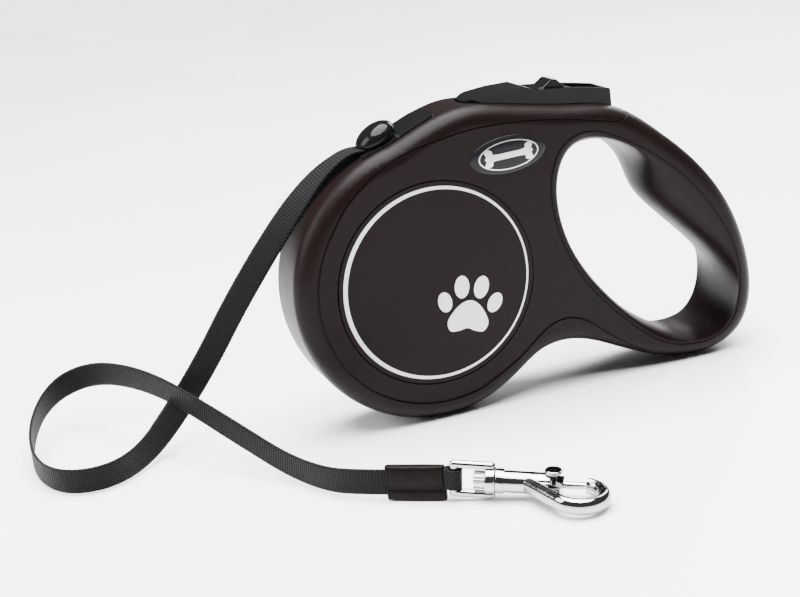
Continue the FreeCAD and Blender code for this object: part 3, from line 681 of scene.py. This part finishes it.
# ---------------------------------------------------------------- free tape
TAPE_WIDTH = 9.5 * MM
TAPE_THICKNESS = 1.0 * MM
# The route's points in millimetres, and at each the direction across the tape's width.
TAPE_ROUTE = [
    ((-56.6, 0, 103.74), (0, 1, 0)),
    ((-61.6, 0, 104.84), (0, 1, 0)),
    ((-70.0, 0, 101.5), (-0.05, 1, 0.1)),
    ((-78.5, 0.7, 95.0), (-0.3, 0.9, 0.3)),
    ((-91.0, 3.5, 80.5), (-0.6, 0.6, 0.5)),
    ((-109.0, 10.0, 55.0), (-0.77, 0.35, 0.54)),
    ((-123.5, 16.5, 30.5), (-0.77, 0.35, 0.54)),
    ((-138.0, 18.5, 12.5), (-0.6, 0.3, 0.75)),
    ((-151.5, 7.0, 5.5), (-0.25, 0.1, 0.95)),
    ((-165.0, -4.5, 5.0), (-0.05, 0, 1)),
    ((-178.5, -4.5, 5.0), (0, 0, 1)),
    ((-187.5, 5.5, 5.0), (0, 0, 1)),
    ((-190.5, 25.0, 5.4), (0, 0, 1)),
    ((-187.5, 47.0, 7.8), (0, 0, 1)),
    ((-180.0, 65.0, 12.0), (0, 0, 1)),
    ((-170.0, 73.0, 15.8), (0, 0, 1)),
    ((-159.0, 68.5, 19.5), (0, 0, 1)),
    ((-149.5, 51.0, 22.5), (0, 0, 1)),
    ((-139.5, 26.0, 23.0), (0, 0, 1)),
    ((-130.5, 1.0, 19.5), (0, 0, 1)),
    ((-119.5, -17.0, 12.0), (0, 0, 1)),
    ((-109.5, -35.0, 5.6), (0, 0, 1)),
    ((-101.5, -54.0, 5.2), (0, 0, 1)),
    ((-93.506, -64.592, 6.3), (0, 0, 1)),
    ((-85.4, -70.1, 6.3), (0, 0, 1)),
]


def read_spline(points, steps):
    """The points of the NURBS spline that has these control points."""
    data = bpy.data.curves.new("spline", "CURVE")
    data.dimensions = "3D"
    spline = data.splines.new("NURBS")
    spline.points.add(len(points) - 1)
    for target, point in zip(spline.points, points):
        target.co = (*point, 1)
    spline.order_u = 3
    spline.use_endpoint_u = True
    data.resolution_u = steps
    holder = bpy.data.objects.new("spline", data)
    scene.collection.objects.link(holder)
    mesh = bpy.data.meshes.new_from_object(holder)
    found = [v.co.copy() for v in mesh.vertices]
    bpy.data.objects.remove(holder)
    bpy.data.meshes.remove(mesh)
    bpy.data.curves.remove(data)
    return found


def evenly(points, partners, gap):
    """Both lines read again at equal steps of the first one's length."""
    reached = [0.0]
    for a, b in zip(points, points[1:]):
        reached.append(reached[-1] + (b - a).length)
    count = int(reached[-1] / gap)
    made, i = [], 0
    for k in range(count + 1):
        want = reached[-1] * k / count
        while i < len(points) - 2 and reached[i + 1] < want:
            i += 1
        share = (want - reached[i]) / max(reached[i + 1] - reached[i], 1e-9)
        made.append((points[i].lerp(points[i + 1], share),
                     partners[i].lerp(partners[i + 1], share), want))
    return made


def ribbon(name, stations, width, thickness, material, body):
    """A woven tape: a flat section with full round edges whose selvedge is finely notched."""
    half, deep = width / 2, thickness / 2
    columns = 14
    rings, weave = [], []
    for i, (place, partner, along) in enumerate(stations):
        before = stations[max(i - 1, 0)][0]
        after = stations[min(i + 1, len(stations) - 1)][0]
        ahead = (after - before).normalized()
        across = partner - place
        across = (across - ahead * across.dot(ahead)).normalized()
        through = ahead.cross(across)
        notch = 0.10 * MM * (0.5 + 0.5 * math.cos(2 * math.pi * along / (1.15 * MM)))
        section = []
        for side in (1, -1):
            for k in range(columns + 1):
                share = 1 - 2 * k / columns
                a = side * share
                out = half - notch if abs(a) > 0.95 else half
                edge = min(1.0, (1 - abs(a)) * half / deep)
                lift = deep * math.sqrt(max(0.0, 1 - (1 - edge) ** 2)) if edge < 1 else deep
                section.append((a * out, side * lift))
        section = [point for k, point in enumerate(section) if k not in (columns, 2 * columns + 1)]
        rings.append([place + across * a + through * t for a, t in section])
        weave.append([(a, along) for a, t in section])
    vertices, faces = loft(rings)
    obj = mesh_object(name, vertices, faces, material, body)
    layer = obj.data.uv_layers.new(name="weave")
    flat = [pair for row in weave for pair in row]
    for corner in obj.data.loops:
        layer.data[corner.index].uv = flat[corner.vertex_index]
    return obj


def free_tape():
    middle_points = [Vector(place) * MM for place, across in TAPE_ROUTE]
    edge_points = [Vector(place) * MM + Vector(across).normalized() * TAPE_WIDTH / 2
                   for place, across in TAPE_ROUTE]
    line, edge = read_spline(middle_points, 40), read_spline(edge_points, 40)
    stations = evenly(line, edge, 0.4 * MM)
    obj = ribbon("tape", stations, TAPE_WIDTH, TAPE_THICKNESS, MATERIALS["tape"], "casing")
    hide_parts("tape_lead")
    on_it = [bpy.data.objects[name] for name in ("bail", "snap_hook", "gate_bolt", "sleeve",
                                                 "sewn_eye")]
    on_it.append(frame["nodes"]["bolt_spring"])


free_tape()


# ---------------------------------------------------------------- stage
FLOOR_HALF = 6.0
FLOOR_DROP = 0.2 * MM
SKY_STRENGTH = 0.10
SUN_ENERGY = 17
SUN_ANGLE = math.radians(64)


def make_stage():
    """A pale glossy floor that runs out of sight, and soft light from above and both sides."""
    floor_data = bpy.data.meshes.new("floor")
    half = FLOOR_HALF
    floor_data.from_pydata([(-half, -half, 0), (half, -half, 0), (half, half, 0), (-half, half, 0)],
                           [], [(0, 1, 2, 3)])
    floor = bpy.data.objects.new("floor", floor_data)
    scene.collection.objects.link(floor)
    floor.location.z = -FLOOR_DROP
    made, tree, shader = new_material("floor", (0.93, 0.93, 0.93), 0.22, Specular_IOR_Level=0.35)
    vary(tree, noise(tree, 6, 2).outputs["Fac"], shader.inputs["Roughness"], 0.20, 0.26)
    floor_data.materials.append(made)

    world = bpy.data.worlds.new("world")
    scene.world = world
    world.use_nodes = True
    world.node_tree.nodes["Background"].inputs["Color"].default_value = (1, 1, 1, 1)
    world.node_tree.nodes["Background"].inputs["Strength"].default_value = SKY_STRENGTH

    def softbox(name, place, target, width, height, power):
        light = bpy.data.lights.new(name, "AREA")
        light.shape = "RECTANGLE"
        light.size, light.size_y = width, height
        light.energy = power
        holder = bpy.data.objects.new(name, light)
        scene.collection.objects.link(holder)
        holder.location = place
        aim = Vector(target) - Vector(place)
        holder.rotation_euler = aim.to_track_quat("-Z", "Y").to_euler()

    softbox("overhead", (-0.05, 0.05, 0.8), (0, 0, 0), 0.8, 0.6, 12)
    softbox("left", (-0.7, 0.1, 0.45), (0, 0, 0.06), 0.4, 0.5, 7)
    softbox("right_back", (0.6, 0.5, 0.5), (0.05, 0, 0.08), 0.4, 0.4, 7)
    sun = bpy.data.lights.new("sky", "SUN")
    sun.energy = SUN_ENERGY
    sun.angle = SUN_ANGLE
    holder = bpy.data.objects.new("sky", sun)
    scene.collection.objects.link(holder)


make_stage()
